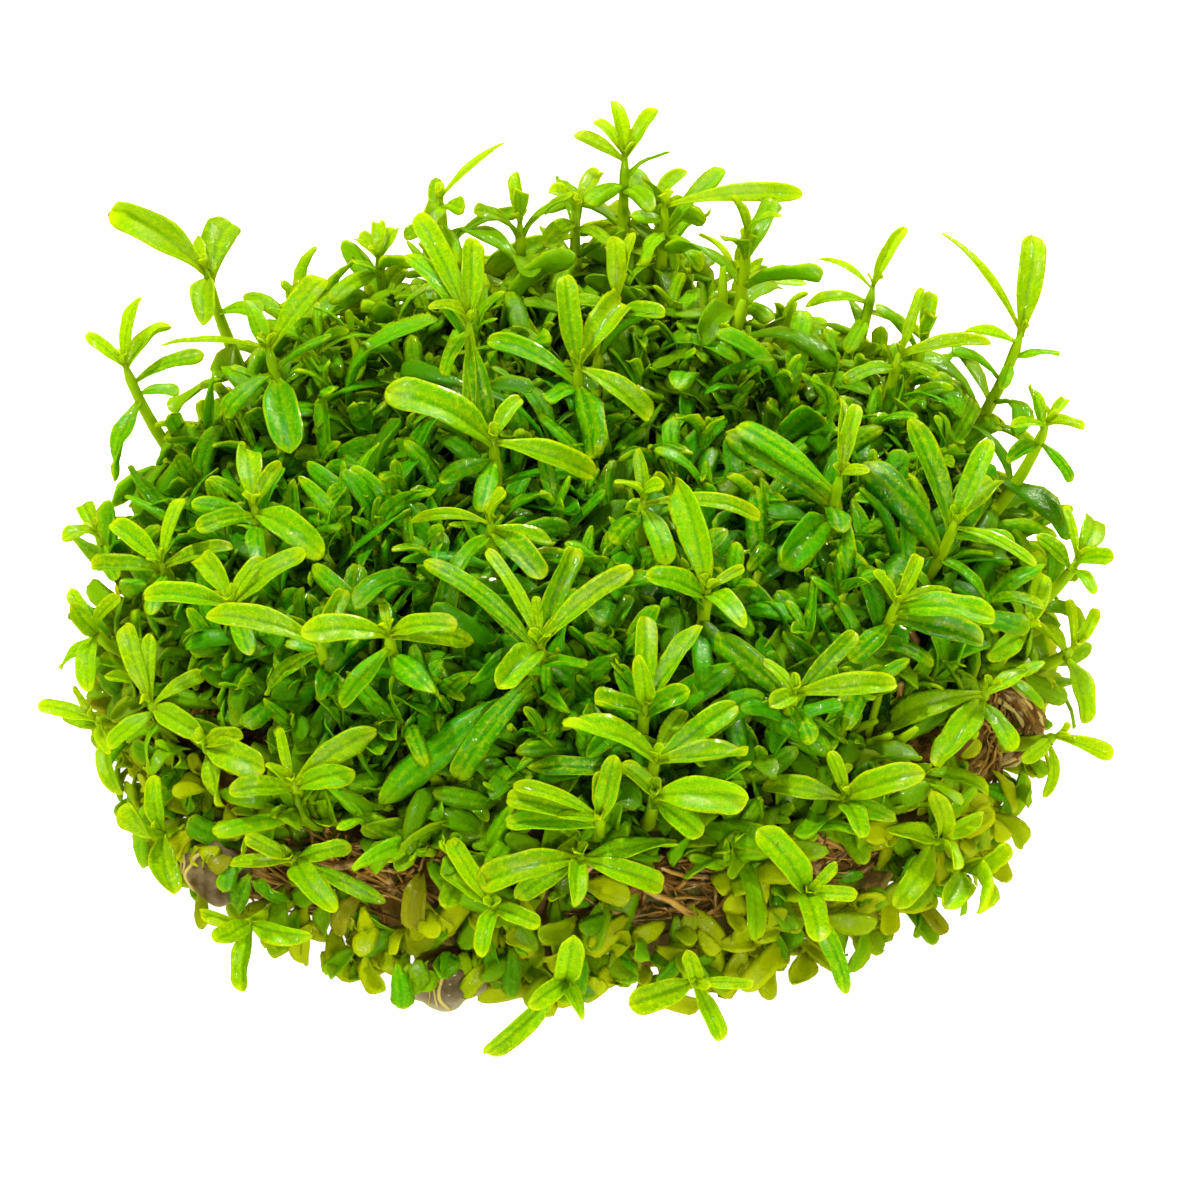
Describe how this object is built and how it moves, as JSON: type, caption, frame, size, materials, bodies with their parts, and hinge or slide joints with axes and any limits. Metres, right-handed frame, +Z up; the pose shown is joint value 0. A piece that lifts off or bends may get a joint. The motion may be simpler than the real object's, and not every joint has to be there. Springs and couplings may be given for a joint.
{
  "type": "green dwarf rotala aquarium plant",
  "caption": "Round clump of small-leaved green aquarium plant: leafy shoots growing from a low mat of roots and old stems.",
  "frame": {"origin": "middle of the root mat's flat underside, on the surface that the clump rests on", "axes": "+Z up out of the mat, the short way through the clump; +X to the right and -Y to the front as the clump is seen from its front, where the mat's edge is least overgrown"},
  "size_m": [0.0792, 0.0766, 0.0425],
  "materials": {
    "young_leaf": "wet, glossy living leaf, bright yellow-green at its edges and tip",
    "old_leaf": "wet, slightly see-through old leaf, yellow-green",
    "root_mat": "wet tangle of brown roots and old stems",
    "jelly": "wet, cloudy grey-brown jelly"
  },
  "bodies": {
    "root": {"back_shoot_1": "young_leaf", "back_shoot_10": "young_leaf", "back_shoot_11": "young_leaf", "back_shoot_12": "young_leaf", "back_shoot_13": "young_leaf", "back_shoot_2": "young_leaf", "back_shoot_3": "young_leaf", "back_shoot_4": "young_leaf", "back_shoot_5": "young_leaf", "back_shoot_6": "young_leaf", "back_shoot_7": "young_leaf", "back_shoot_8": "young_leaf", "back_shoot_9": "young_leaf", "hidden_shoot_1": "young_leaf", "hidden_shoot_2": "young_leaf", "hidden_shoot_3": "young_leaf", "hidden_shoot_4": "young_leaf", "jelly_front": "jelly", "jelly_left": "jelly", "left_shoot_1": "young_leaf", "left_shoot_2": "young_leaf", "left_shoot_3": "young_leaf", "left_shoot_4": "young_leaf", "left_shoot_5": "young_leaf", "left_shoot_7": "young_leaf", "left_shoot_8": "young_leaf", "middle_shoot_1": "young_leaf", "middle_shoot_10": "young_leaf", "middle_shoot_11": "young_leaf", "middle_shoot_2": "young_leaf", "middle_shoot_3": "young_leaf", "middle_shoot_4": "young_leaf", "middle_shoot_5": "young_leaf", "middle_shoot_6": "young_leaf", "middle_shoot_8": "young_leaf", "middle_shoot_9": "young_leaf", "old_leaves": "old_leaf", "right_shoot_1": "young_leaf", "right_shoot_11": "young_leaf", "right_shoot_12": "young_leaf", "right_shoot_13": "young_leaf", "right_shoot_2": "young_leaf", "right_shoot_3": "young_leaf", "right_shoot_4": "young_leaf", "right_shoot_5": "young_leaf", "right_shoot_6": "young_leaf", "right_shoot_7": "young_leaf", "right_shoot_8": "young_leaf", "right_shoot_9": "young_leaf", "rim_shoot_1": "old_leaf", "rim_shoot_2": "old_leaf", "rim_shoot_3": "old_leaf", "rim_shoot_4": "old_leaf", "rim_shoot_5": "old_leaf", "rim_shoot_6": "old_leaf", "rim_shoot_7": "old_leaf", "rim_shoot_8": "old_leaf", "rim_shoot_9": "old_leaf", "root_mat": "root_mat", "undergrowth": "young_leaf"}
  },
  "joints": []
}
